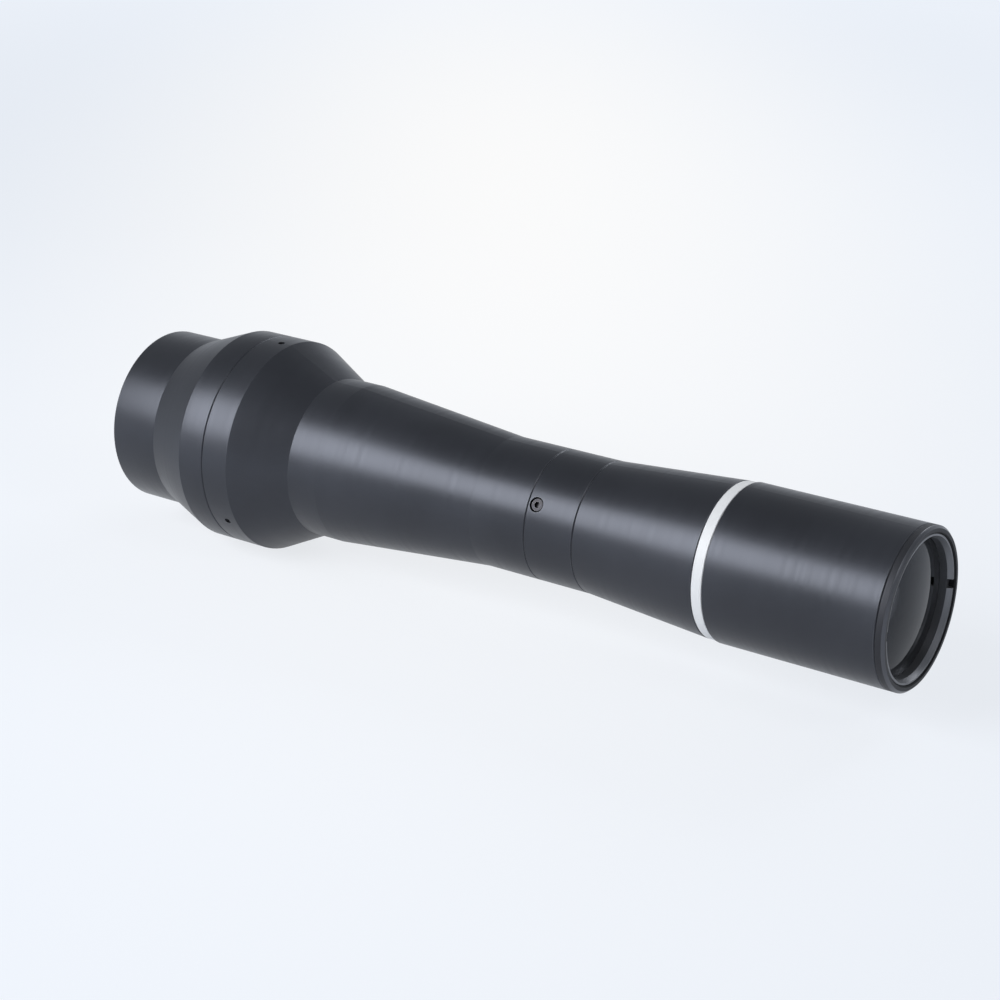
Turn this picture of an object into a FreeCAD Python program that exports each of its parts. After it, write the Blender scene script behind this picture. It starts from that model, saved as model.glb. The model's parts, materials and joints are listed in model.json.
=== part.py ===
import FreeCAD, Part
import math
import os
import Sketcher

# A telecentric lens for a large machine vision camera, in millimetres. X is the optical axis, from the
# camera to the front glass, Z is up, and the origin is the centre of the mount's rear end.

SIZES = {
    # The whole lens along its axis; the front barrel takes what the other sections leave
    "overall_length": 390.0,
    # Camera mount, the turned piece that screws to the camera
    "register_wall": 3.9,
    "register_length": 4.2,
    "ring_radius": 39.3,
    "ring_length": 24.4,
    "collar_radius": 48.0,
    "mount_cone_length": 23.2,
    "mount_collar_length": 13.2,
    "mount_thread_radius": 28.6,
    "mount_thread_length": 12.0,
    "mount_relief_depth": 1.25,
    "mount_relief_length": 2.4,
    "mount_spigot_wall": 10.9,
    "mount_spigot_length": 12.5,
    "mount_groove_width": 3.2,
    "mount_groove_floor_width": 1.8,
    "mount_groove_depth": 1.0,
    # Rear body, from the collar to the waist
    "collar_wall": 4.4,
    "rear_collar_length": 14.0,
    "rear_cone_length": 25.0,
    "rear_barrel_radius": 35.75,
    "rear_barrel_length": 15.0,
    "rear_barrel_wall": 4.75,
    "rear_shoulder_width": 3.0,
    "taper_length": 77.0,
    "waist_radius": 28.5,
    "waist_length": 27.5,
    "waist_wall": 5.0,
    "waist_end_wall": 10.0,
    # Stop housing, with the sockets at its two ends
    "housing_length": 23.5,
    "housing_wall": 9.3,
    "stop_spigot_wall": 4.15,
    "stop_spigot_length": 12.0,
    "stop_web_length": 3.0,
    "stop_web_width": 3.2,
    "housing_spigot_step": 4.0,
    "housing_spigot_wall": 4.0,
    "housing_spigot_length": 10.0,
    # Flared barrel, marking ring and front barrel
    "flare_length": 59.0,
    "flare_wall": 6.0,
    "band_length": 5.0,
    "band_recess": 0.5,
    "band_wall": 3.0,
    "front_radius": 33.5,
    "front_spigot_length": 12.0,
    "front_spigot_wall": 2.45,
    # Bezel that closes the front barrel
    "bezel_length": 4.0,
    "bezel_socket_wall": 1.45,
    "bezel_spigot_wall": 1.5,
    "bezel_spigot_length": 4.0,
    "bezel_chamfer": 1.1,
    # Front lens group
    "front_seat_step": 0.15,
    "front_ring_recess": 0.6,
    "front_ring_length": 5.4,
    "front_ring_width": 2.1,
    "front_ring_mouth_length": 2.2,
    "front_ring_mouth_width": 0.9,
    "front_notch_width": 3.9,
    "front_notch_depth": 2.3,
    "front_crown_radius": 120.0,
    "front_crown_thickness": 14.0,
    "front_cement_radius": 100.0,
    "front_flint_thickness": 4.0,
    "front_flint_radius": 300.0,
    "front_spacer_length": 6.0,
    "front_spacer_width": 2.3,
    "front_inner_radius": 200.0,
    "front_inner_thickness": 8.0,
    # Aperture stop and its retaining ring
    "stop_thickness": 1.5,
    "stop_hole_radius": 6.0,
    "stop_edge": 0.2,
    "stop_ring_length": 4.0,
    "stop_ring_width": 3.5,
    # Rear lens group
    "rear_ring_recess": 2.0,
    "rear_ring_length": 4.0,
    "rear_ring_width": 3.0,
    "rear_crown_radius": 160.0,
    "rear_crown_thickness": 12.0,
    "rear_cement_radius": 110.0,
    "rear_flint_thickness": 4.0,
    "rear_flint_radius": 350.0,
    "rear_spacer_length": 5.0,
    "rear_inner_radius": 220.0,
    "rear_inner_thickness": 8.0,
    # Set screws that lock the camera mount in the collar
    "set_screw_radius": 1.5,
    "set_screw_length": 4.5,
    "set_screw_point_radius": 0.5,
    "set_screw_socket": 1.5,
    "set_screw_socket_depth": 1.6,
    "set_screw_place": 8.4,
    "set_screw_gap": 0.3,
    # Cap screws that lock the stop housing on the rear body
    "cap_screw_radius": 1.5,
    "cap_screw_length": 8.0,
    "cap_head_width": 1.25,
    "cap_head_length": 3.0,
    "cap_socket": 2.5,
    "cap_socket_depth": 1.5,
    "cap_hole_gap": 0.2,
    "cap_counterbore_gap": 0.5,
    "cap_counterbore_depth": 3.6,
    "cap_screw_place": 4.0,
    # Clearances and small edges
    "running_gap": 0.05,
    "seam_gap": 0.1,
    "thread_gap": 0.05,
    "seat_gap": 0.05,
    "glass_gap": 0.1,
    "end_gap": 0.5,
    "edge": 0.4,
    "slot_width": 3.0,
    "slot_depth": 1.5,
}
SCREWS_ROUND = 3

doc = FreeCAD.newDocument("telecentric_lens")
sheet = doc.addObject("Spreadsheet::Sheet", "Sizes")
for row, (name, number) in enumerate(SIZES.items(), start=1):
    sheet.set(f"A{row}", name.replace("_", " "))
    sheet.set(f"B{row}", str(number))
    sheet.setAlias(f"B{row}", name)
doc.recompute()


class Measure:
    """A length in millimetres together with the sheet formula that gives it."""

    def __init__(self, number, formula):
        self.number = number
        self.formula = formula

    def __add__(self, other):
        return Measure(self.number + number_of(other), f"({self.formula} + {formula_of(other)})")

    def __sub__(self, other):
        return Measure(self.number - number_of(other), f"({self.formula} - {formula_of(other)})")

    def __mul__(self, other):
        return Measure(self.number * number_of(other), f"({self.formula} * {formula_of(other)})")

    def __truediv__(self, other):
        return Measure(self.number / number_of(other), f"({self.formula} / {formula_of(other)})")


def number_of(value):
    return value.number if isinstance(value, Measure) else value


def formula_of(value):
    return value.formula if isinstance(value, Measure) else str(value)


def size(name):
    """Read one driving size from the sheet."""
    return Measure(float(sheet.get(name)), f"Sizes.{name}")


def root(value):
    return Measure(math.sqrt(value.number), f"sqrt({value.formula})")


def sag(curve, height):
    """Depth of a spherical surface of radius curve at a height above its axis."""
    return curve - root(curve * curve - height * height)


ZERO = Measure(0.0, "0")


def plane_of(body, role):
    for feature in body.Origin.OriginFeatures:
        if feature.Role == role:
            return feature


def new_body(label):
    body = doc.addObject("PartDesign::Body", label)
    body.Label = label
    return body


def new_sketch(body, name, role, offset=ZERO):
    """Start a sketch on an origin plane of its body, raised along the plane's normal by an offset."""
    sketch = body.newObject("Sketcher::SketchObject", f"{body.Label}_{name}")
    sketch.AttachmentSupport = [(plane_of(body, role), "")]
    sketch.MapMode = "FlatFace"
    if offset.number:
        sketch.AttachmentOffset = FreeCAD.Placement(FreeCAD.Vector(0, 0, offset.number), FreeCAD.Rotation())
        sketch.setExpression("AttachmentOffset.Base.z", offset.formula)
    return sketch


def bind(sketch, kind, *reference):
    """Add a dimension whose last argument is a Measure, and tie it to the sheet."""
    *where, measure = reference
    index = sketch.addConstraint(Sketcher.Constraint(kind, *where, measure.number))
    sketch.setExpression(f"Constraints[{index}]", measure.formula)


def pin(sketch, line, end, across, upward):
    """Dimension one end of a line from the sketch's origin, or hold it on an axis where it is zero."""
    if across.formula == ZERO.formula:
        sketch.addConstraint(Sketcher.Constraint("PointOnObject", line, end, -2))
    else:
        bind(sketch, "DistanceX", -1, 1, line, end, across)
    if upward.formula == ZERO.formula:
        sketch.addConstraint(Sketcher.Constraint("PointOnObject", line, end, -1))
    else:
        bind(sketch, "DistanceY", -1, 1, line, end, upward)


def outline(sketch, corners):
    """Draw a closed outline of straight lines through dimensioned corners."""
    points = [FreeCAD.Vector(across.number, upward.number, 0) for across, upward in corners]
    for start, end in zip(points, points[1:] + points[:1]):
        sketch.addGeometry(Part.LineSegment(start, end), False)
    for line, (across, upward) in enumerate(corners):
        after = (line + 1) % len(corners)
        sketch.addConstraint(Sketcher.Constraint("Coincident", line, 2, after, 1))
        pin(sketch, line, 1, across, upward)


def turn(body, sketch, axis="H_Axis"):
    """Turn a sketch round one of its own axes."""
    turned = body.newObject("PartDesign::Revolution", f"{body.Label}_turned")
    turned.Profile = sketch
    turned.ReferenceAxis = (sketch, [axis])
    turned.Angle = 360


def turned_body(label, corners):
    """Make a body turned about the optical axis from the corners (place, radius) of its section."""
    body = new_body(label)
    section = new_sketch(body, "section", "XZ_Plane")
    outline(section, corners)
    turn(body, section)
    return body


def surface(sketch, apex, curve, side, height):
    """Draw one spherical surface of a lens, from its apex on the axis to its edge.

    Side is 1 where the centre of the sphere lies behind the apex and -1 where it lies in front of it.
    Gives the arc's two ends, at the apex and at the rim.
    """
    centre = FreeCAD.Vector(apex.number - side * curve.number, 0, 0)
    swing = math.asin(height.number / curve.number)
    circle = Part.Circle(centre, FreeCAD.Vector(0, 0, 1), curve.number)
    if side > 0:
        arc = sketch.addGeometry(Part.ArcOfCircle(circle, 0, swing), False)
        ends = (arc, 1), (arc, 2)
    else:
        arc = sketch.addGeometry(Part.ArcOfCircle(circle, math.pi - swing, math.pi), False)
        ends = (arc, 2), (arc, 1)
    at_apex, at_rim = ends
    sketch.addConstraint(Sketcher.Constraint("PointOnObject", arc, 3, -1))
    sketch.addConstraint(Sketcher.Constraint("PointOnObject", *at_apex, -1))
    bind(sketch, "Radius", arc, curve)
    bind(sketch, "DistanceX", -1, 1, *at_apex, apex)
    bind(sketch, "DistanceY", -1, 1, *at_rim, height)
    return ends


def flat(sketch, place, height):
    """Draw a flat face of a lens, from the axis to its edge, and give its two ends."""
    apex = FreeCAD.Vector(place.number, 0, 0)
    rim = FreeCAD.Vector(place.number, height.number, 0)
    line = sketch.addGeometry(Part.LineSegment(apex, rim), False)
    pin(sketch, line, 1, place, ZERO)
    pin(sketch, line, 2, place, height)
    return (line, 1), (line, 2)


def lens(label, rear, front, height):
    """Make a lens from its rear and front faces.

    A face is its apex place, its radius of curvature or None for a flat one, and its side.
    """
    body = new_body(label)
    sketch = new_sketch(body, "section", "XZ_Plane")
    faces = []
    for apex, curve, side in (rear, front):
        if curve is None:
            faces.append(flat(sketch, apex, height))
        else:
            faces.append(surface(sketch, apex, curve, side, height))
    for rear_end, front_end in zip(*faces):
        line = sketch.addGeometry(
            Part.LineSegment(sketch.getPoint(*rear_end), sketch.getPoint(*front_end)), False)
        sketch.addConstraint(Sketcher.Constraint("Coincident", line, 1, *rear_end))
        sketch.addConstraint(Sketcher.Constraint("Coincident", line, 2, *front_end))
    turn(body, sketch)
    return body


def ring(label, start, end, bore, outer):
    """Make a plain ring with broken outer corners."""
    return turned_body(label, [
        (start, bore),
        (end, bore),
        (end, outer - size("edge")),
        (end - size("edge"), outer),
        (start + size("edge"), outer),
        (start, outer - size("edge")),
    ])


def slot(body, face, direction, width, depth, reach):
    """Cut a spanner slot across the end face of a ring, along the horizontal diameter.

    Direction is 1 where the ring's end face looks forwards and -1 where it looks back.
    """
    half = width / 2
    sketch = new_sketch(body, "slot", "YZ_Plane", face)
    minus_half = ZERO - half
    outline(sketch, [
        (ZERO - reach, minus_half),
        (reach, minus_half),
        (reach, half),
        (ZERO - reach, half),
    ])
    pocket = body.newObject("PartDesign::Pocket", f"{body.Label}_slot_cut")
    pocket.Profile = sketch
    pocket.Type = "Length"
    pocket.Length = depth.number
    pocket.setExpression("Length", depth.formula)
    pocket.Reversed = direction < 0


def radial_holes(body, name, place, radius, upward, start=ZERO):
    """Drill evenly spaced radial holes through a wall, the first straight up or straight down."""
    side = 1 if upward else -1
    sketch = new_sketch(body, name, "XY_Plane", start * side)
    circle = Part.Circle(FreeCAD.Vector(place.number, 0, 0), FreeCAD.Vector(0, 0, 1), radius.number)
    hole = sketch.addGeometry(circle, False)
    sketch.addConstraint(Sketcher.Constraint("PointOnObject", hole, 3, -1))
    bind(sketch, "DistanceX", -1, 1, hole, 3, place)
    bind(sketch, "Radius", hole, radius)
    pocket = body.newObject("PartDesign::Pocket", f"{body.Label}_{name}_cut")
    pocket.Profile = sketch
    pocket.Type = "ThroughAll"
    pocket.Reversed = upward
    return pocket


def repeat_round(body, cuts):
    """Repeat cuts round the optical axis."""
    pattern = body.newObject("PartDesign::PolarPattern", f"{body.Label}_pattern")
    pattern.Originals = cuts
    pattern.Axis = (plane_of(body, "X_Axis"), [""])
    pattern.Angle = 360
    pattern.Occurrences = SCREWS_ROUND
    body.Tip = pattern


def hex_socket(body, top, across_flats, depth):
    """Sink a hexagon socket into the top of a screw."""
    floor = top - depth
    socket = body.newObject("PartDesign::SubtractivePrism", f"{body.Label}_socket")
    socket.AttachmentSupport = [(plane_of(body, "XY_Plane"), "")]
    socket.MapMode = "FlatFace"
    socket.AttachmentOffset = FreeCAD.Placement(FreeCAD.Vector(0, 0, floor.number), FreeCAD.Rotation())
    socket.setExpression("AttachmentOffset.Base.z", floor.formula)
    socket.Polygon = 6
    corner = across_flats / math.sqrt(3)
    socket.setExpression("Circumradius", corner.formula)
    socket.setExpression("Height", depth.formula)


def place_round(body, place, angle):
    """Set a screw, drawn along its own Z from the optical axis, at a place along that axis."""
    turned = FreeCAD.Rotation(FreeCAD.Vector(1, 0, 0), angle)
    body.Placement = FreeCAD.Placement(FreeCAD.Vector(place.number, 0, 0), turned)
    body.setExpression("Placement.Base.x", place.formula)


# Places along the optical axis
ring_start = size("register_length")
cone_start = ring_start + size("ring_length")
collar_start = cone_start + size("mount_cone_length")
collar_seam = collar_start + size("mount_collar_length")
collar_end = collar_seam + size("rear_collar_length")
rear_barrel_start = collar_end + size("rear_cone_length")
rear_barrel_end = rear_barrel_start + size("rear_barrel_length")
waist_start = rear_barrel_end + size("taper_length")
housing_seam = waist_start + size("waist_length")
flare_seam = housing_seam + size("housing_length")
band_start = flare_seam + size("flare_length")
band_end = band_start + size("band_length")
front_rim = size("overall_length")
bezel_seam = front_rim - size("bezel_length")
set_screw_station = collar_seam + size("set_screw_place")
cap_screw_station = housing_seam + size("cap_screw_place")

# Ends of the spigots and floors of their sockets
mount_spigot_end = collar_seam + size("mount_spigot_length")
collar_floor = mount_spigot_end + size("end_gap")
stop_spigot_end = housing_seam + size("stop_spigot_length")
stop_web_rear = stop_spigot_end + size("end_gap")
stop_web_front = stop_web_rear + size("stop_web_length")
housing_spigot_end = flare_seam + size("housing_spigot_length")
flare_rear_floor = housing_spigot_end + size("end_gap")
front_spigot_end = band_start - size("front_spigot_length")
flare_front_floor = front_spigot_end - size("end_gap")
bezel_spigot_end = bezel_seam - size("bezel_spigot_length")
barrel_step = bezel_spigot_end - size("end_gap")

# Radii, each from the piece outside it and the wall between them
edge = size("edge")
collar_bore = size("collar_radius") - size("collar_wall")
mount_spigot = collar_bore - size("running_gap")
mount_bore = mount_spigot - size("mount_spigot_wall")
rear_bore = size("rear_barrel_radius") - size("rear_barrel_wall")
rear_shoulder_bore = rear_bore - size("rear_shoulder_width")
rear_ring_bore = rear_bore - size("rear_ring_width")
housing_socket = size("waist_radius") - size("housing_wall")
stop_spigot = housing_socket - size("thread_gap")
housing_spigot = size("waist_radius") - size("housing_spigot_step")
stop_bore = housing_spigot - size("housing_spigot_wall")
band_radius = size("front_radius") - size("band_recess")
band_bore = band_radius - size("band_wall")
front_spigot = band_bore - size("thread_gap")
front_bore = front_spigot - size("front_spigot_wall")
bezel_socket = size("front_radius") - size("bezel_socket_wall")
bezel_spigot = bezel_socket - size("thread_gap")
bezel_bore = bezel_spigot - size("bezel_spigot_wall")
front_seat = bezel_bore - size("front_seat_step")
front_ring_bore = bezel_bore - size("front_ring_width")
cap_head = size("cap_screw_radius") + size("cap_head_width")

# Rear lens group, from its retaining ring forwards
rear_height = rear_bore - size("glass_gap")
rear_ring_start = collar_floor + size("rear_ring_recess")
rear_ring_end = rear_ring_start + size("rear_ring_length")
rear_crown_sag = sag(size("rear_crown_radius"), rear_ring_bore)
rear_crown_rear = rear_ring_end + size("seat_gap") - rear_crown_sag
rear_crown_front = rear_crown_rear + size("rear_crown_thickness")
rear_flint_rear = rear_crown_front + size("seat_gap")
rear_flint_front = rear_flint_rear + size("rear_flint_thickness")
rear_flint_sag = sag(size("rear_flint_radius"), rear_ring_bore)
rear_spacer_start = rear_flint_front - rear_flint_sag + size("seat_gap")
rear_spacer_end = rear_spacer_start + size("rear_spacer_length")
rear_inner_sag = sag(size("rear_inner_radius"), rear_ring_bore)
rear_inner_rear = rear_spacer_end + size("seat_gap") - rear_inner_sag
rear_inner_front = rear_inner_rear + size("rear_inner_thickness")
rear_shoulder = rear_inner_front + size("seat_gap")

# Front lens group, from its retaining ring backwards
front_height = front_seat - size("seat_gap")
front_spacer_bore = front_height - size("front_spacer_width")
front_ring_end = front_rim - size("front_ring_recess")
front_ring_start = front_ring_end - size("front_ring_length")
front_crown_sag = sag(size("front_crown_radius"), front_ring_bore)
front_crown_front = front_ring_start - size("seat_gap") + front_crown_sag
front_crown_rear = front_crown_front - size("front_crown_thickness")
front_flint_front = front_crown_rear - size("seat_gap")
front_flint_rear = front_flint_front - size("front_flint_thickness")
front_flint_sag = sag(size("front_flint_radius"), front_spacer_bore)
front_spacer_end = front_flint_rear + front_flint_sag - size("seat_gap")
front_spacer_start = front_spacer_end - size("front_spacer_length")
front_inner_sag = sag(size("front_inner_radius"), front_spacer_bore)
front_inner_front = front_spacer_start - size("seat_gap") + front_inner_sag
front_inner_rear = front_inner_front - size("front_inner_thickness")
front_shoulder = front_inner_rear - size("seat_gap")


def make_camera_mount():
    groove_floor = mount_spigot - size("mount_groove_depth")
    half_mouth = size("mount_groove_width") / 2
    half_floor = size("mount_groove_floor_width") / 2
    relief_start = size("mount_thread_length")
    bore_start = relief_start + size("mount_relief_length")
    thread = size("mount_thread_radius")
    relief = thread + size("mount_relief_depth")
    register = thread + size("register_wall")
    turned_body("camera_mount", [
        (ZERO, thread),
        (relief_start, thread),
        (relief_start, relief),
        (bore_start, relief),
        (bore_start, mount_bore),
        (mount_spigot_end, mount_bore),
        (mount_spigot_end, mount_spigot - edge),
        (mount_spigot_end - edge, mount_spigot),
        (set_screw_station + half_mouth, mount_spigot),
        (set_screw_station + half_floor, groove_floor),
        (set_screw_station - half_floor, groove_floor),
        (set_screw_station - half_mouth, mount_spigot),
        (collar_seam, mount_spigot),
        (collar_seam, size("collar_radius") - edge),
        (collar_seam - edge, size("collar_radius")),
        (collar_start, size("collar_radius")),
        (cone_start, size("ring_radius")),
        (ring_start + edge, size("ring_radius")),
        (ring_start, size("ring_radius") - edge),
        (ring_start, register),
        (edge, register),
        (ZERO, register - edge),
    ])


def make_rear_body():
    rear_face = collar_seam + size("seam_gap")
    bore_at_waist = size("waist_radius") - size("waist_wall")
    end_wall = housing_seam - size("waist_end_wall")
    spigot_bore = stop_spigot - size("stop_spigot_wall")
    body = turned_body("rear_body", [
        (rear_face, collar_bore),
        (collar_floor, collar_bore),
        (collar_floor, rear_bore),
        (rear_shoulder, rear_bore),
        (rear_shoulder, rear_shoulder_bore),
        (rear_barrel_end, rear_shoulder_bore),
        (waist_start, bore_at_waist),
        (end_wall, bore_at_waist),
        (end_wall, spigot_bore),
        (stop_spigot_end, spigot_bore),
        (stop_spigot_end, stop_spigot - edge),
        (stop_spigot_end - edge, stop_spigot),
        (housing_seam, stop_spigot),
        (housing_seam, size("waist_radius") - edge),
        (housing_seam - edge, size("waist_radius")),
        (waist_start, size("waist_radius")),
        (rear_barrel_end, size("rear_barrel_radius")),
        (rear_barrel_start, size("rear_barrel_radius")),
        (collar_end, size("collar_radius")),
        (rear_face + edge, size("collar_radius")),
        (rear_face, size("collar_radius") - edge),
    ])
    set_holes = radial_holes(
        body, "set_screw_hole", set_screw_station, size("set_screw_radius") + size("thread_gap"), True)
    cap_holes = radial_holes(
        body, "cap_screw_hole", cap_screw_station, size("cap_screw_radius") + size("thread_gap"), False)
    repeat_round(body, [set_holes, cap_holes])


def make_stop_housing():
    web_bore = housing_socket - size("stop_web_width")
    body = turned_body("stop_housing", [
        (housing_seam, housing_socket),
        (stop_web_rear, housing_socket),
        (stop_web_rear, web_bore),
        (stop_web_front, web_bore),
        (stop_web_front, stop_bore),
        (housing_spigot_end, stop_bore),
        (housing_spigot_end, housing_spigot - edge),
        (housing_spigot_end - edge, housing_spigot),
        (flare_seam, housing_spigot),
        (flare_seam, size("waist_radius") - edge),
        (flare_seam - edge, size("waist_radius")),
        (housing_seam + edge, size("waist_radius")),
        (housing_seam, size("waist_radius") - edge),
    ])
    hole = size("cap_screw_radius") + size("cap_hole_gap")
    holes = radial_holes(body, "cap_screw_hole", cap_screw_station, hole, False)
    counterbore = cap_head + size("cap_counterbore_gap")
    counterbore_floor = size("waist_radius") - size("cap_counterbore_depth")
    counterbores = radial_holes(
        body, "counterbore", cap_screw_station, counterbore, False, counterbore_floor)
    repeat_round(body, [holes, counterbores])


def make_flare_barrel():
    wall = size("flare_wall")
    turned_body("flare_barrel", [
        (flare_seam, housing_spigot + size("thread_gap")),
        (flare_rear_floor, housing_spigot + size("thread_gap")),
        (flare_rear_floor, size("waist_radius") - wall),
        (flare_front_floor, front_bore),
        (flare_front_floor, band_bore),
        (band_start, band_bore),
        (band_start, band_radius - edge),
        (band_start - edge, band_radius),
        (flare_seam + edge, size("waist_radius")),
        (flare_seam, size("waist_radius") - edge),
    ])


def make_marking_ring():
    ring("marking_ring", band_start, band_end, band_bore, band_radius)


def make_front_barrel():
    turned_body("front_barrel", [
        (front_spigot_end, front_bore),
        (front_shoulder, front_bore),
        (front_shoulder, front_seat),
        (barrel_step, front_seat),
        (barrel_step, bezel_socket),
        (bezel_seam, bezel_socket),
        (bezel_seam, size("front_radius") - edge),
        (bezel_seam - edge, size("front_radius")),
        (band_end + edge, size("front_radius")),
        (band_end, size("front_radius") - edge),
        (band_end, front_spigot),
        (front_spigot_end + edge, front_spigot),
        (front_spigot_end, front_spigot - edge),
    ])


def make_front_bezel():
    turned_body("front_bezel", [
        (bezel_spigot_end, bezel_bore),
        (front_rim - edge, bezel_bore),
        (front_rim, bezel_bore + edge),
        (front_rim, size("front_radius") - size("bezel_chamfer")),
        (front_rim - size("bezel_chamfer"), size("front_radius")),
        (bezel_seam + edge, size("front_radius")),
        (bezel_seam, size("front_radius") - edge),
        (bezel_seam, bezel_spigot),
        (bezel_spigot_end + edge, bezel_spigot),
        (bezel_spigot_end, bezel_spigot - edge),
    ])


def make_front_group():
    ring_outer = bezel_bore - size("thread_gap")
    body = turned_body("front_retaining_ring", [
        (front_ring_start, front_ring_bore),
        (front_ring_end - size("front_ring_mouth_length"), front_ring_bore),
        (front_ring_end, front_ring_bore + size("front_ring_mouth_width")),
        (front_ring_end, ring_outer - edge),
        (front_ring_end - edge, ring_outer),
        (front_ring_start + edge, ring_outer),
        (front_ring_start, ring_outer - edge),
    ])
    notch_depth = size("front_notch_depth")
    slot(body, front_ring_end, 1, size("front_notch_width"), notch_depth, size("front_radius"))
    lens(
        "front_crown_lens",
        (front_crown_rear, size("front_cement_radius"), -1),
        (front_crown_front, size("front_crown_radius"), 1),
        front_height,
    )
    lens(
        "front_flint_lens",
        (front_flint_rear, size("front_flint_radius"), -1),
        (front_flint_front, size("front_cement_radius"), -1),
        front_height,
    )
    ring("front_spacer", front_spacer_start, front_spacer_end, front_spacer_bore, front_height)
    lens(
        "front_inner_lens",
        (front_inner_rear, None, 1),
        (front_inner_front, size("front_inner_radius"), 1),
        front_height,
    )


def make_aperture_stop():
    plate_start = stop_web_front + size("seat_gap")
    plate_end = plate_start + size("stop_thickness")
    bevel = size("stop_thickness") - size("stop_edge")
    turned_body("aperture_stop", [
        (plate_start, size("stop_hole_radius") + bevel),
        (plate_start + bevel, size("stop_hole_radius")),
        (plate_end, size("stop_hole_radius")),
        (plate_end, stop_bore - size("seat_gap")),
        (plate_start, stop_bore - size("seat_gap")),
    ])
    start = plate_end + size("seat_gap")
    end = start + size("stop_ring_length")
    outer = stop_bore - size("thread_gap")
    body = ring("aperture_retaining_ring", start, end, stop_bore - size("stop_ring_width"), outer)
    slot(body, end, 1, size("slot_width"), size("slot_depth"), size("waist_radius"))


def make_rear_group():
    ring_outer = rear_bore - size("thread_gap")
    body = ring("rear_retaining_ring", rear_ring_start, rear_ring_end, rear_ring_bore, ring_outer)
    slot(body, rear_ring_start, -1, size("slot_width"), size("slot_depth"), size("rear_barrel_radius"))
    lens(
        "rear_crown_lens",
        (rear_crown_rear, size("rear_crown_radius"), -1),
        (rear_crown_front, size("rear_cement_radius"), 1),
        rear_height,
    )
    lens(
        "rear_flint_lens",
        (rear_flint_rear, size("rear_cement_radius"), 1),
        (rear_flint_front, size("rear_flint_radius"), 1),
        rear_height,
    )
    ring("rear_spacer", rear_spacer_start, rear_spacer_end, rear_ring_bore, rear_height)
    lens(
        "rear_inner_lens",
        (rear_inner_rear, size("rear_inner_radius"), -1),
        (rear_inner_front, None, 1),
        rear_height,
    )


def make_set_screws():
    """Set screws with cone points that reach into the camera mount's groove."""
    groove_floor = mount_spigot - size("mount_groove_depth")
    point = groove_floor + size("set_screw_gap")
    top = point + size("set_screw_length")
    cone_top = point + size("set_screw_radius") - size("set_screw_point_radius")
    half_edge = edge / 2
    for number in range(SCREWS_ROUND):
        body = new_body(f"mount_set_screw_{number + 1}")
        section = new_sketch(body, "section", "XZ_Plane")
        outline(section, [
            (ZERO, point),
            (size("set_screw_point_radius"), point),
            (size("set_screw_radius"), cone_top),
            (size("set_screw_radius"), top - half_edge),
            (size("set_screw_radius") - half_edge, top),
            (ZERO, top),
        ])
        turn(body, section, "V_Axis")
        hex_socket(body, top, size("set_screw_socket"), size("set_screw_socket_depth"))
        place_round(body, set_screw_station, 360 / SCREWS_ROUND * number)


def make_cap_screws():
    """Socket cap screws sunk in the stop housing and screwed into the rear body's spigot."""
    seat = size("waist_radius") - size("cap_counterbore_depth")
    tip = seat - size("cap_screw_length")
    top = seat + size("cap_head_length")
    half_edge = edge / 2
    for number in range(SCREWS_ROUND):
        body = new_body(f"housing_screw_{number + 1}")
        section = new_sketch(body, "section", "XZ_Plane")
        outline(section, [
            (ZERO, tip),
            (size("cap_screw_radius") - half_edge, tip),
            (size("cap_screw_radius"), tip + half_edge),
            (size("cap_screw_radius"), seat),
            (cap_head, seat),
            (cap_head, top - half_edge),
            (cap_head - half_edge, top),
            (ZERO, top),
        ])
        turn(body, section, "V_Axis")
        hex_socket(body, top, size("cap_socket"), size("cap_socket_depth"))
        place_round(body, cap_screw_station, 180 + 360 / SCREWS_ROUND * number)


make_camera_mount()
make_rear_body()
make_stop_housing()
make_flare_barrel()
make_marking_ring()
make_front_barrel()
make_front_bezel()
make_front_group()
make_aperture_stop()
make_rear_group()
make_set_screws()
make_cap_screws()
doc.recompute()

# Every object has to be sound before anything is written
for item in doc.Objects:
    if "Invalid" in item.State or "Error" in item.State:
        raise RuntimeError(f"{item.Label} did not build: {item.State}")
bodies = [item for item in doc.Objects if item.TypeId == "PartDesign::Body"]
for body in bodies:
    if body.Shape.isNull() or not body.Shape.isValid():
        raise RuntimeError(f"{body.Label} has no sound shape")

os.makedirs("parts", exist_ok=True)
for body in bodies:
    body.Shape.exportStep(f"parts/{body.Label}.step")
print(len(bodies), "parts written")
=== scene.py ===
import json
import math
from collections import namedtuple

import bmesh
import bpy
from mathutils import Matrix, Vector


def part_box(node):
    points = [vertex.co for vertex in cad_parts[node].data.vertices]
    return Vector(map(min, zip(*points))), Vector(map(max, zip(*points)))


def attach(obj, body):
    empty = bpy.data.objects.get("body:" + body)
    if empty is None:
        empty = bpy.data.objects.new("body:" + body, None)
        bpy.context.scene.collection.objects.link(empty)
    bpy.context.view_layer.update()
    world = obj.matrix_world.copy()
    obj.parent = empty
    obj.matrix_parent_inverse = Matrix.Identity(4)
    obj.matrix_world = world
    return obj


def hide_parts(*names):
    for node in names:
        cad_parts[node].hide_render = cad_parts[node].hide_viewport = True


# A telecentric lens on a pale studio floor. Most CAD nodes keep their shapes and get their finishes
# here. The camera mount, the front bezel and the glass are finer pieces that stand for their nodes.

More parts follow.
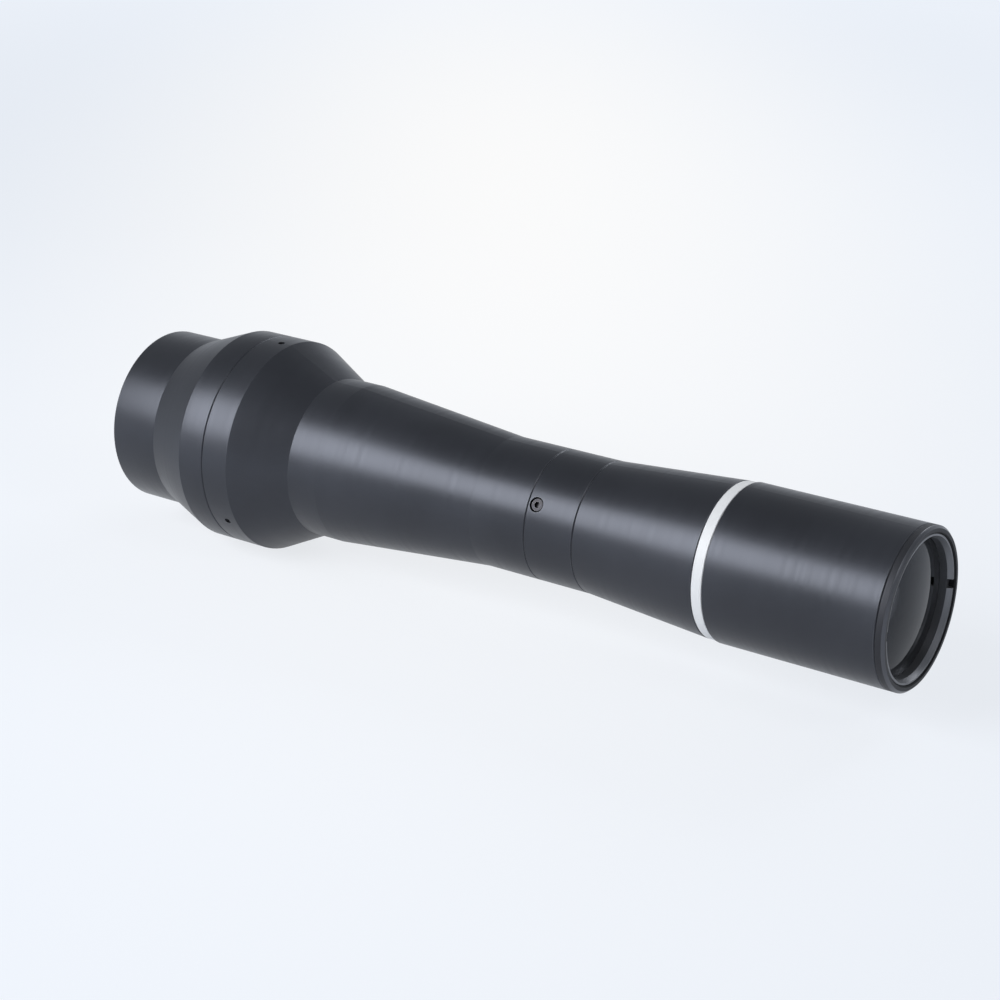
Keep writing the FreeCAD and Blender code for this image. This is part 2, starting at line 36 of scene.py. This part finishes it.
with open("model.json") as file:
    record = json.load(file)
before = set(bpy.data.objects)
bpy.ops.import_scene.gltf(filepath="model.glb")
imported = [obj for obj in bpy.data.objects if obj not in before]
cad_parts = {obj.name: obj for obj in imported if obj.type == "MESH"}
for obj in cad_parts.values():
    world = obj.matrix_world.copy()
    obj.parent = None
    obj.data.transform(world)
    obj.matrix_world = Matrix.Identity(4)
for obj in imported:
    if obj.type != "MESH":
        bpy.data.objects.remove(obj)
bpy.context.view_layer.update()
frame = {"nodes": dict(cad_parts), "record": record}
nodes = frame["nodes"]
MM = 0.001


def add_object(name, data):
    thing = bpy.data.objects.new(name, data)
    bpy.context.scene.collection.objects.link(thing)
    return thing


def opaque(colour):
    return (*colour, 1.0)


# Materials

class Shader:
    """A material's or the world's node tree, built one node at a time."""

    # The sockets of a Mix node that carry colours
    FIRST_COLOUR, SECOND_COLOUR, MIXED_COLOUR = 6, 7, 2

    def __init__(self, name, world=False):
        self.owner = bpy.data.worlds.new(name) if world else bpy.data.materials.new(name)
        self.owner.use_nodes = True
        self.tree = self.owner.node_tree
        self.tree.nodes.clear()
        output = "ShaderNodeOutputWorld" if world else "ShaderNodeOutputMaterial"
        self.output = self.tree.nodes.new(output)

    def add(self, kind, inputs=(), **settings):
        node = self.tree.nodes.new("ShaderNode" + kind)
        for key, value in settings.items():
            setattr(node, key, value)
        for key, value in dict(inputs).items():
            if isinstance(value, bpy.types.NodeSocket):
                self.tree.links.new(value, node.inputs[key])
            else:
                node.inputs[key].default_value = value
        return node

    def math(self, operation, *values):
        return self.add("Math", enumerate(values), operation=operation).outputs[0]

    def vector(self, operation, *values):
        node = self.add("VectorMath", enumerate(values), operation=operation)
        return node.outputs["Value" if operation in ("LENGTH", "DOT_PRODUCT") else "Vector"]

    def spread(self, value, low, high, to_low=0.0, to_high=1.0):
        """Map a value from low..high to to_low..to_high, held at both ends."""
        inputs = {
            "Value": value, "From Min": low, "From Max": high, "To Min": to_low, "To Max": to_high,
        }
        return self.add("MapRange", inputs).outputs["Result"]

    def mix(self, share, first, second):
        """Mix two colours."""
        inputs = {0: share, self.FIRST_COLOUR: first, self.SECOND_COLOUR: second}
        return self.add("Mix", inputs, data_type="RGBA").outputs[self.MIXED_COLOUR]

    def noise(self, place, scale, detail=3.0):
        inputs = {"Vector": place, "Scale": scale, "Detail": detail}
        return self.add("TexNoise", inputs).outputs["Fac"]

    def lines(self, along, scale, detail=2.0):
        """Noise along one coordinate."""
        inputs = {"W": self.math("MULTIPLY", along, scale), "Scale": 1.0, "Detail": detail}
        return self.add("TexNoise", inputs, noise_dimensions="1D").outputs["Fac"]

    def place(self):
        """Where a point is in the body's own axes, which turn with the body."""
        return self.add("TexCoord").outputs["Object"]

    def edges(self, radius, plain, sharp):
        """1 where rounding the edges by a radius would turn the surface most, and 0 elsewhere."""
        rounded = self.add("Bevel", {"Radius": radius}, samples=4).outputs["Normal"]
        normal = self.add("NewGeometry").outputs["Normal"]
        return self.spread(self.vector("DOT_PRODUCT", rounded, normal), plain, sharp)

    def bump(self, height, strength, distance):
        inputs = {"Height": height, "Strength": strength, "Distance": distance}
        return self.add("Bump", inputs).outputs["Normal"]

    def surface(self, shader):
        self.tree.links.new(shader, self.output.inputs["Surface"])
        return self.owner

    def principled(self, inputs):
        return self.surface(self.add("BsdfPrincipled", inputs).outputs[0])


def turned_coordinates(shader):
    """A point's place, its offset from the axis, and a coordinate that runs along cylinders and
    outwards on end faces."""
    place = shader.place()
    parts = shader.add("SeparateXYZ", {0: place}).outputs
    across = shader.add("CombineXYZ", {1: parts["Y"], 2: parts["Z"]}).outputs[0]
    along = shader.math("ADD", parts["X"], shader.vector("LENGTH", across))
    return place, across, along


def faces_inwards(shader, across):
    """1 on bores, which face the optical axis, and 0 elsewhere, however the body has turned."""
    normal = shader.add("TexCoord").outputs["Normal"]
    outward = shader.vector("NORMALIZE", across)
    return shader.spread(shader.vector("DOT_PRODUCT", normal, outward), -0.35, -0.15, 1.0, 0.0)


# Scales of the noise in the finishes, per metre
TOOL_LINES = 5200.0
TOOL_BANDS = 420.0
DYE_CLOUDS = 22.0
GRAIN = 2600.0
WEAR_PATCHES = 160.0
ENAMEL_CLOUDS = 60.0
ENAMEL_DUST = 900.0
ORANGE_PEEL = 700.0
SMUDGES = 45.0
INK_GRAIN = 1500.0
OXIDE_BLOTCHES = 900.0
OXIDE_GRAIN = 4000.0
FLOOR_SPECKS = 300.0

BORE_BLACK = opaque((0.006, 0.006, 0.007))
DUST = opaque((0.45, 0.45, 0.44))
INK_DARK, INK_LIGHT = opaque((0.008, 0.008, 0.009)), opaque((0.02, 0.02, 0.021))
OXIDE_DARK, OXIDE_LIGHT = opaque((0.022, 0.022, 0.026)), opaque((0.04, 0.038, 0.04))
BARE_STEEL = opaque((0.30, 0.30, 0.31))


def anodised(name, colour, wear_and_highlight_colour, roughness, bore_roughness, bore_darkness=0.0):
    """Turned aluminium, black anodised: fine tool lines, uneven dye, and lighter edges, partly rubbed
    and partly a painted highlight.
    """
    shader = Shader(name)
    place, across, along = turned_coordinates(shader)
    inwards = faces_inwards(shader, across)
    cloud = shader.noise(place, DYE_CLOUDS, 4.0)

    edge = shader.edges(radius=0.00045, plain=0.985, sharp=0.86)
    patchy = shader.spread(shader.noise(place, WEAR_PATCHES), 0.42, 0.62)
    # Edges are painted lighter in patches: partly rubbed finish, partly a painted highlight where
    # edges would catch light.
    wear_and_highlight_mask = shader.math("MULTIPLY", edge, shader.math("MULTIPLY_ADD", patchy, 0.45, 0.12))
    lighter = opaque(1.22 * part for part in colour)
    base = shader.mix(shader.spread(cloud, 0.35, 0.7), opaque(colour), lighter)
    base = shader.mix(wear_and_highlight_mask, base, opaque(wear_and_highlight_colour))
    base = shader.mix(shader.math("MULTIPLY", inwards, bore_darkness), base, BORE_BLACK)

    bands = shader.lines(along, TOOL_BANDS, 1.0)
    rough = shader.math("MULTIPLY_ADD", shader.math("SUBTRACT", cloud, 0.5), 0.10, roughness)
    rough = shader.math("MULTIPLY_ADD", shader.math("SUBTRACT", bands, 0.5), 0.09, rough)
    rough = shader.math("MULTIPLY_ADD", inwards, bore_roughness - roughness, rough)

    grain = shader.noise(place, GRAIN, 2.0)
    height = shader.math("MULTIPLY_ADD", grain, 0.25, shader.lines(along, TOOL_LINES))
    tangent = shader.add("Tangent", direction_type="RADIAL", axis="X").outputs["Tangent"]
    return shader.principled({
        "Base Color": base,
        "Metallic": 0.7,
        "Roughness": rough,
        "IOR": 1.5,
        "Anisotropic": 0.25,
        "Tangent": tangent,
        "Normal": shader.bump(height, strength=0.35, distance=0.000012),
    })


def enamel(name, colour):
    """Smooth pale enamel with a faint orange peel and a little dust in it."""
    shader = Shader(name)
    place = shader.place()
    cloud = shader.noise(place, ENAMEL_CLOUDS, 4.0)
    dust = shader.spread(shader.noise(place, ENAMEL_DUST, 1.0), 0.70, 0.78)
    darker = opaque(0.95 * part for part in colour)
    base = shader.mix(shader.spread(cloud, 0.3, 0.7), darker, opaque(colour))
    base = shader.mix(shader.math("MULTIPLY", dust, 0.2), base, DUST)
    peel = shader.noise(place, ORANGE_PEEL, 2.0)
    return shader.principled({
        "Base Color": base,
        "Roughness": shader.spread(cloud, 0.2, 0.8, 0.42, 0.52),
        "Normal": shader.bump(peel, strength=0.15, distance=0.00002),
    })


def glass(name, colour, tint, index):
    """Polished glass, faintly smudged. A coating is a tint and a lower index, which reflects less."""
    shader = Shader(name)
    smudge = shader.spread(shader.noise(shader.place(), SMUDGES), 0.35, 0.75, 0.0, 0.035)
    return shader.principled({
        "Base Color": opaque(colour),
        "Roughness": smudge,
        "IOR": index,
        "Specular Tint": opaque(tint),
        "Transmission Weight": 1.0,
    })


def edge_ink(name):
    """Matt black ink on the ground rim of a lens."""
    shader = Shader(name)
    grain = shader.noise(shader.place(), INK_GRAIN)
    return shader.principled({
        "Base Color": shader.mix(grain, INK_DARK, INK_LIGHT),
        "Roughness": shader.spread(grain, 0.3, 0.7, 0.65, 0.85),
    })


def black_oxide(name):
    """Oiled black oxide on steel, with edges rubbed through to brighter steel."""
    shader = Shader(name)
    place = shader.place()
    edge = shader.edges(radius=0.00015, plain=0.99, sharp=0.85)
    blotch = shader.spread(shader.noise(place, OXIDE_BLOTCHES, 4.0), 0.35, 0.65)
    base = shader.mix(blotch, OXIDE_DARK, OXIDE_LIGHT)
    grain = shader.noise(place, OXIDE_GRAIN, 2.0)
    return shader.principled({
        "Base Color": shader.mix(shader.math("MULTIPLY", edge, 0.5), base, BARE_STEEL),
        "Metallic": 0.9,
        "Roughness": shader.spread(blotch, 0.0, 1.0, 0.28, 0.44),
        "Normal": shader.bump(grain, strength=0.2, distance=0.00001),
    })


finishes = {
    "black_anodised": anodised(
        "black anodised", colour=(0.042, 0.0445, 0.053), wear_and_highlight_colour=(0.18, 0.19, 0.20),
        roughness=0.33, bore_roughness=0.45, bore_darkness=0.15),
    "matte_black": anodised(
        "matte black", colour=(0.11, 0.115, 0.13), wear_and_highlight_colour=(0.20, 0.20, 0.21),
        roughness=0.45, bore_roughness=0.45),
    "white_ring": enamel("white enamel", colour=(0.82, 0.83, 0.84)),
    "coated_glass": glass(
        "coated glass", colour=(0.040, 0.041, 0.045), tint=(0.70, 0.78, 1.0), index=1.31),
    "clear_glass": glass(
        "clear glass", colour=(0.55, 0.58, 0.57), tint=(0.85, 1.0, 0.9), index=1.52),
    "black_steel": black_oxide("black oxide"),
}
bezel_finish = anodised(
    "blasted bezel", colour=(0.030, 0.031, 0.036), wear_and_highlight_colour=(0.22, 0.23, 0.25),
    roughness=0.50, bore_roughness=0.62, bore_darkness=0.75)
# The bezel's front chamfer: smoother, and painted lighter than the bezel as a painted highlight.
chamfer_highlight_finish = anodised(
    "chamfer painted lighter", colour=(0.080, 0.083, 0.094), wear_and_highlight_colour=(0.24, 0.25, 0.27),
    roughness=0.30, bore_roughness=0.62, bore_darkness=0.75)
# The front retaining ring is a lighter grey than the other black parts: a painted sheen on its bore.
ring_sheen_finish = anodised(
    "ring with painted sheen", colour=(0.17, 0.175, 0.19), wear_and_highlight_colour=(0.26, 0.26, 0.27),
    roughness=0.40, bore_roughness=0.40)
lens_edge = edge_ink("lens edge")


# Turned pieces. Their sections and threads are in millimetres, as (place on the axis, radius).

AXIS_SEGMENTS = 160
SHARP_FROM = math.radians(35.0)
MERGE_WITHIN = 1e-6
COLLAPSED_WITHIN = 1e-7
DOME_STEPS = 24
FRONT_GLASS, REAR_GLASS = 30.3, 30.9
GROUND_BEVEL = 0.25
RIM_MARGIN = 0.2

# A thread's shape over one pitch: the share of the pitch, and whether it is at the crest there
THREAD_SHAPE = ((0.0, True), (0.25, True), (0.56, False), (0.69, False))

Thread = namedtuple("Thread", "start end crest root pitch")


def rounded(corners, radius):
    """Round the corners of an open section, by at most a little under half of each side."""
    made = [corners[0]]
    for before, here, after in zip(corners, corners[1:], corners[2:]):
        before, here, after = Vector(before), Vector(here), Vector(after)
        reach = min(radius, 0.45 * (before - here).length, 0.45 * (after - here).length)
        first = here + (before - here).normalized() * reach
        last = here + (after - here).normalized() * reach
        for step in (0.0, 0.3, 0.7, 1.0):
            middle = first * (1 - step) ** 2 + here * (2 * step * (1 - step)) + last * step ** 2
            made.append(tuple(middle))
    made.append(corners[-1])
    return made


def on_axis(place, radius, turn):
    return (place * MM, -radius * math.sin(turn) * MM, radius * math.cos(turn) * MM)


def turn_section(corners, points, faces):
    """Turn an open section about X."""
    turns = [2 * math.pi * step / AXIS_SEGMENTS for step in range(AXIS_SEGMENTS)]
    first = len(points)
    for place, radius in corners:
        points.extend(on_axis(place, radius, turn) for turn in turns)
    for row in range(len(corners) - 1):
        low, high = first + row * AXIS_SEGMENTS, first + (row + 1) * AXIS_SEGMENTS
        for step in range(AXIS_SEGMENTS):
            after = (step + 1) % AXIS_SEGMENTS
            faces.append((low + step, low + after, high + after, high + step))


def cut_thread(thread, points, faces):
    """Wind a thread round X. It runs out in a short countersink at both ends, so that it meets the
    sections there at its root radius."""
    rows = (math.ceil((thread.end - thread.start) / thread.pitch) + 1) * len(THREAD_SHAPE) + 1
    first = len(points)
    for row in range(rows):
        share, at_crest = THREAD_SHAPE[row % len(THREAD_SHAPE)]
        radius = thread.crest if at_crest else thread.root
        for step in range(AXIS_SEGMENTS + 1):
            lead = row // len(THREAD_SHAPE) - 1 + share + step / AXIS_SEGMENTS
            place = min(max(thread.start + lead * thread.pitch, thread.start), thread.end)
            mouth = thread.root - min(place - thread.start, thread.end - place)
            turn = 2 * math.pi * step / AXIS_SEGMENTS
            points.append(on_axis(place, max(radius, mouth), turn))
    for row in range(rows - 1):
        for step in range(AXIS_SEGMENTS):
            low = first + row * (AXIS_SEGMENTS + 1) + step
            high = low + AXIS_SEGMENTS + 1
            faces.append((low, low + 1, high + 1, high))


def turned_piece(name, sections, threads=()):
    """Turn open sections about X, and cut threads in the bores between them."""
    points, faces = [], []
    for corners in sections:
        turn_section(corners, points, faces)
    for thread in threads:
        cut_thread(thread, points, faces)
    mesh = bpy.data.meshes.new(name)
    mesh.from_pydata(points, [], faces)
    work = bmesh.new()
    work.from_mesh(mesh)
    bmesh.ops.remove_doubles(work, verts=work.verts, dist=MERGE_WITHIN)
    bmesh.ops.dissolve_degenerate(work, edges=work.edges, dist=COLLAPSED_WITHIN)
    bmesh.ops.recalc_face_normals(work, faces=work.faces)
    work.to_mesh(mesh)
    work.free()
    mesh.shade_smooth()
    mesh.set_sharp_from_angle(angle=SHARP_FROM)
    return add_object(name, mesh)


def take_over(piece, body, slot, *stood_for, finish=None):
    """Let a piece stand for nodes of one body, in a material slot's finish or one of its own."""
    piece.data.materials.append(finish or finishes[slot])
    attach(piece, body)
    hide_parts(*stood_for)


def refinish(piece, finish, chosen):
    """Give a second finish to the faces whose place and radius in millimetres are chosen."""
    piece.data.materials.append(finish)
    for face in piece.data.polygons:
        place, radius = face.center.x / MM, math.hypot(*face.center[1:]) / MM
        face.material_index = int(chosen(place, radius))


def make_camera_mount():
    """Camera mount with its M58 x 0.75 thread and the fine grooves that keep its bore dull."""
    thread = Thread(start=0.0, end=12.0, crest=28.6, root=29.006, pitch=0.75)
    grooves = Thread(start=16.0, end=76.4, crest=32.65, root=32.95, pitch=1.0)
    outside = rounded([
        (thread.start, thread.root), (0.0, 32.1), (0.4, 32.5), (4.2, 32.5), (4.2, 38.9),
        (4.6, 39.3), (28.6, 39.3), (51.8, 48.0), (64.6, 48.0), (65.0, 47.6), (65.0, 43.55),
        (71.8, 43.55), (72.5, 42.55), (74.3, 42.55), (75.0, 43.55), (77.1, 43.55), (77.5, 43.15),
        (77.5, grooves.crest), (grooves.end, grooves.crest), (grooves.end, grooves.root),
    ], radius=0.1)
    step = rounded([
        (grooves.start, grooves.root), (grooves.start, grooves.crest), (14.4, grooves.crest),
        (14.4, 29.85), (thread.end, 29.85), (thread.end, thread.root),
    ], radius=0.1)
    piece = turned_piece("threaded_mount", [outside, step], [thread, grooves])
    take_over(piece, "mount", "black_anodised", "camera_mount")


def make_front_bezel():
    """Front bezel with the fine thread that holds the retaining ring."""
    thread = Thread(start=382.0, end=389.87, crest=30.5, root=30.77, pitch=0.5)
    outside = rounded([
        (thread.end, thread.root), (390.0, 30.9), (390.0, 32.4), (388.9, 33.5), (386.4, 33.5),
        (386.0, 33.1), (386.0, 32.0), (382.4, 32.0), (382.0, 31.6), (thread.start, thread.root),
    ], radius=0.12)
    piece = turned_piece("threaded_bezel", [outside], [thread])
    take_over(piece, "lens", "black_anodised", "front_bezel", finish=bezel_finish)
    # The front chamfer's lighter colour is a painted highlight.
    chamfer_start, chamfer_inside = 388.85, 32.35
    refinish(
        piece, chamfer_highlight_finish,
        lambda place, radius: place > chamfer_start and radius > chamfer_inside)


def dome(apex, curve, height, towards_front):
    """Corners of a spherical lens surface from the axis to its rim. A curve of 0 is flat."""
    corners = []
    for step in range(DOME_STEPS + 1):
        radius = height * step / DOME_STEPS
        depth = curve - math.sqrt(curve * curve - radius * radius) if curve else 0.0
        corners.append((apex - depth if towards_front else apex + depth, max(radius, 1e-4)))
    return corners


def make_glass(name, slot, stood_for, height, rear_curve, front_curve):
    """A lens, or a cemented pair as one body of glass, with ground rims and a small bevel."""
    rear = min(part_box(node)[0].x for node in stood_for) / MM
    front = max(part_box(node)[1].x for node in stood_for) / MM
    rear_dome = dome(rear, rear_curve, height - GROUND_BEVEL, False)
    front_dome = dome(front, front_curve, height - GROUND_BEVEL, True)
    rim = [
        (rear_dome[-1][0] + GROUND_BEVEL, height), (front_dome[-1][0] - GROUND_BEVEL, height),
    ]
    piece = turned_piece(name, [rear_dome + rim + front_dome[::-1]])
    take_over(piece, "lens", slot, *stood_for)
    refinish(piece, lens_edge, lambda place, radius: radius > height - RIM_MARGIN)


for part in frame["record"]["subparts"]:
    node = nodes[part["node"]]
    node.data.materials.clear()
    node.data.materials.append(finishes[part["material_slot"]])
# The front retaining ring gets the lighter grey, a painted sheen.
nodes["front_retaining_ring"].data.materials[0] = ring_sheen_finish

make_camera_mount()
make_front_bezel()
make_glass(
    "front_doublet", "coated_glass", ["front_flint_lens", "front_crown_lens"],
    height=FRONT_GLASS, rear_curve=300.0, front_curve=120.0)
make_glass(
    "front_singlet", "clear_glass", ["front_inner_lens"],
    height=FRONT_GLASS, rear_curve=0.0, front_curve=200.0)
make_glass(
    "rear_doublet", "coated_glass", ["rear_crown_lens", "rear_flint_lens"],
    height=REAR_GLASS, rear_curve=160.0, front_curve=350.0)
make_glass(
    "rear_singlet", "clear_glass", ["rear_inner_lens"],
    height=REAR_GLASS, rear_curve=220.0, front_curve=0.0)


# Floor, lights and camera, in metres

LENS_CENTRE = Vector((0.195, 0.0, 0.0))
FLOOR_LEVEL = -0.048
FLOOR_REACH = 15.0
# The floor's white patch, a painted pool of light, is an ellipse: its centre, the turn of its axes,
# and one over its radii
LIGHT_POOL_CENTRE = (-0.187, 0.557, 0.0)
LIGHT_POOL_TURN = -0.607
LIGHT_POOL_SCALE = (2.20, 0.694, 0.0)
# The floor shows shadows up to the first distance from the origin, and none past the second
SHADOW_REACH = (0.5, 1.4)
MIRRORED_FLOOR = 0.65

WORLD_LEVEL = 0.19
WHITE = (1.0, 1.0, 1.0)
COOL_WHITE = (0.95, 0.97, 1.0)
FLOOR_BLUE = opaque((0.83, 0.875, 0.945))
WALL = opaque((0.84, 0.885, 0.95))
CEILING = opaque((0.33, 0.35, 0.38))


def floor_material():
    """Pale floor, whitest behind the lens in a painted pool of light and faintly blue further out,
    with a soft shadow.
    """
    shader = Shader("floor")
    place = shader.place()
    shifted = shader.vector("SUBTRACT", place, LIGHT_POOL_CENTRE)
    turned = shader.add(
        "VectorRotate", {"Vector": shifted, "Angle": LIGHT_POOL_TURN}, rotation_type="Z_AXIS")
    scaled = shader.vector("MULTIPLY", turned.outputs[0], LIGHT_POOL_SCALE)
    ramp = shader.add("ValToRGB", {"Fac": shader.vector("LENGTH", scaled)})
    ramp.color_ramp.interpolation = "EASE"
    stops = ramp.color_ramp.elements
    stops[0].position, stops[0].color = 0.0, opaque(WHITE)
    stops[1].position, stops[1].color = 1.0, FLOOR_BLUE
    colour = ramp.outputs["Color"]
    specks = shader.bump(shader.noise(place, FLOOR_SPECKS), strength=0.05, distance=0.0002)
    matte = shader.add("BsdfDiffuse", {"Color": colour, "Normal": specks}).outputs[0]
    away = shader.vector("LENGTH", place)
    # The glow is a little stronger near the lens, part of the painted pool of light.
    strength = shader.spread(away, *SHADOW_REACH, 1.03, 1.0)
    glow = shader.add("Emission", {"Color": colour, "Strength": strength}).outputs[0]
    path = shader.add("LightPath").outputs
    mirrored = shader.math("MAXIMUM", path["Is Glossy Ray"], path["Is Transmission Ray"])
    mirrored = shader.math("MULTIPLY", mirrored, MIRRORED_FLOOR)
    seen = shader.math("MAXIMUM", path["Is Camera Ray"], mirrored)
    share = shader.math("MULTIPLY", seen, shader.spread(away, *SHADOW_REACH, 0.80, 1.0))
    return shader.surface(shader.add("MixShader", {0: share, 1: matte, 2: glow}).outputs[0])


def make_floor():
    corners = ((-1, -1), (1, -1), (1, 1), (-1, 1))
    mesh = bpy.data.meshes.new("floor")
    mesh.from_pydata(
        [(x * FLOOR_REACH, y * FLOOR_REACH, FLOOR_LEVEL) for x, y in corners], [], [(0, 1, 2, 3)])
    mesh.materials.append(floor_material())
    add_object("floor", mesh)


def make_world():
    """Pale all round, with a dim ceiling in reflections and a plain level of light elsewhere."""
    shader = Shader("studio", world=True)
    direction = shader.add("TexCoord").outputs["Generated"]
    height = shader.add("SeparateXYZ", {0: direction}).outputs["Z"]
    ceiling = shader.mix(shader.spread(height, 0.0, 0.4), WALL, CEILING)
    path = shader.add("LightPath").outputs
    reflected = shader.math("MAXIMUM", path["Is Glossy Ray"], path["Is Transmission Ray"])
    lit, mirrored, seen = (
        shader.add("Background", {"Color": colour, "Strength": strength}).outputs[0]
        for colour, strength in ((opaque(COOL_WHITE), WORLD_LEVEL), (ceiling, 1.0), (WALL, 1.0)))
    shown = shader.add("MixShader", {0: reflected, 1: lit, 2: mirrored}).outputs[0]
    shown = shader.add("MixShader", {0: path["Is Camera Ray"], 1: shown, 2: seen}).outputs[0]
    shader.surface(shown)
    bpy.context.scene.world = shader.owner


def aim(thing, right, up, back, place):
    """Put a lamp or a camera at a place, with its axes turned."""
    matrix = Matrix((right, up, back)).transposed().to_4x4()
    matrix.translation = place
    thing.matrix_world = matrix


def soft_box(name, towards, distance, length, width, radiance, colour=WHITE):
    """A rectangular lamp on a direction from the lens, its long side along the lens."""
    direction = Vector(towards).normalized()
    data = bpy.data.lights.new(name, "AREA")
    data.shape = "RECTANGLE"
    data.size = length
    data.size_y = width
    data.energy = radiance * length * width * math.pi
    data.color = colour
    side = (Vector((1.0, 0.0, 0.0)) - direction * direction.x).normalized()
    place = LENS_CENTRE + direction * distance
    aim(add_object(name, data), side, direction.cross(side), direction, place)


def make_camera():
    """The photo's camera, fitted to the lens's edges."""
    data = bpy.data.cameras.new("camera")
    data.lens = 85.02
    data.sensor_width = 36.0
    data.clip_start = 0.01
    camera = add_object("camera", data)
    aim(
        camera,
        right=Vector((0.82303, 0.56800, 0.0)),
        up=Vector((-0.21577, 0.31265, 0.92503)),
        back=Vector((0.52542, -0.76133, 0.37988)),
        place=Vector((0.7250, -0.7719, 0.3849)))
    bpy.context.scene.camera = camera


make_floor()
make_world()
soft_box(
    "key", (-0.455, -0.715, 0.525), distance=1.2, length=1.0, width=0.66,
    radiance=6.8, colour=COOL_WHITE)
soft_box(
    "front", (0.74, -0.15, 0.65), distance=1.2, length=0.35, width=0.35,
    radiance=4.0)
soft_box(
    "fill", (0.16, 0.84, 0.52), distance=1.3, length=0.7, width=0.45,
    radiance=5.0, colour=COOL_WHITE)
make_camera()

scene = bpy.context.scene
scene.view_settings.view_transform = "Standard"
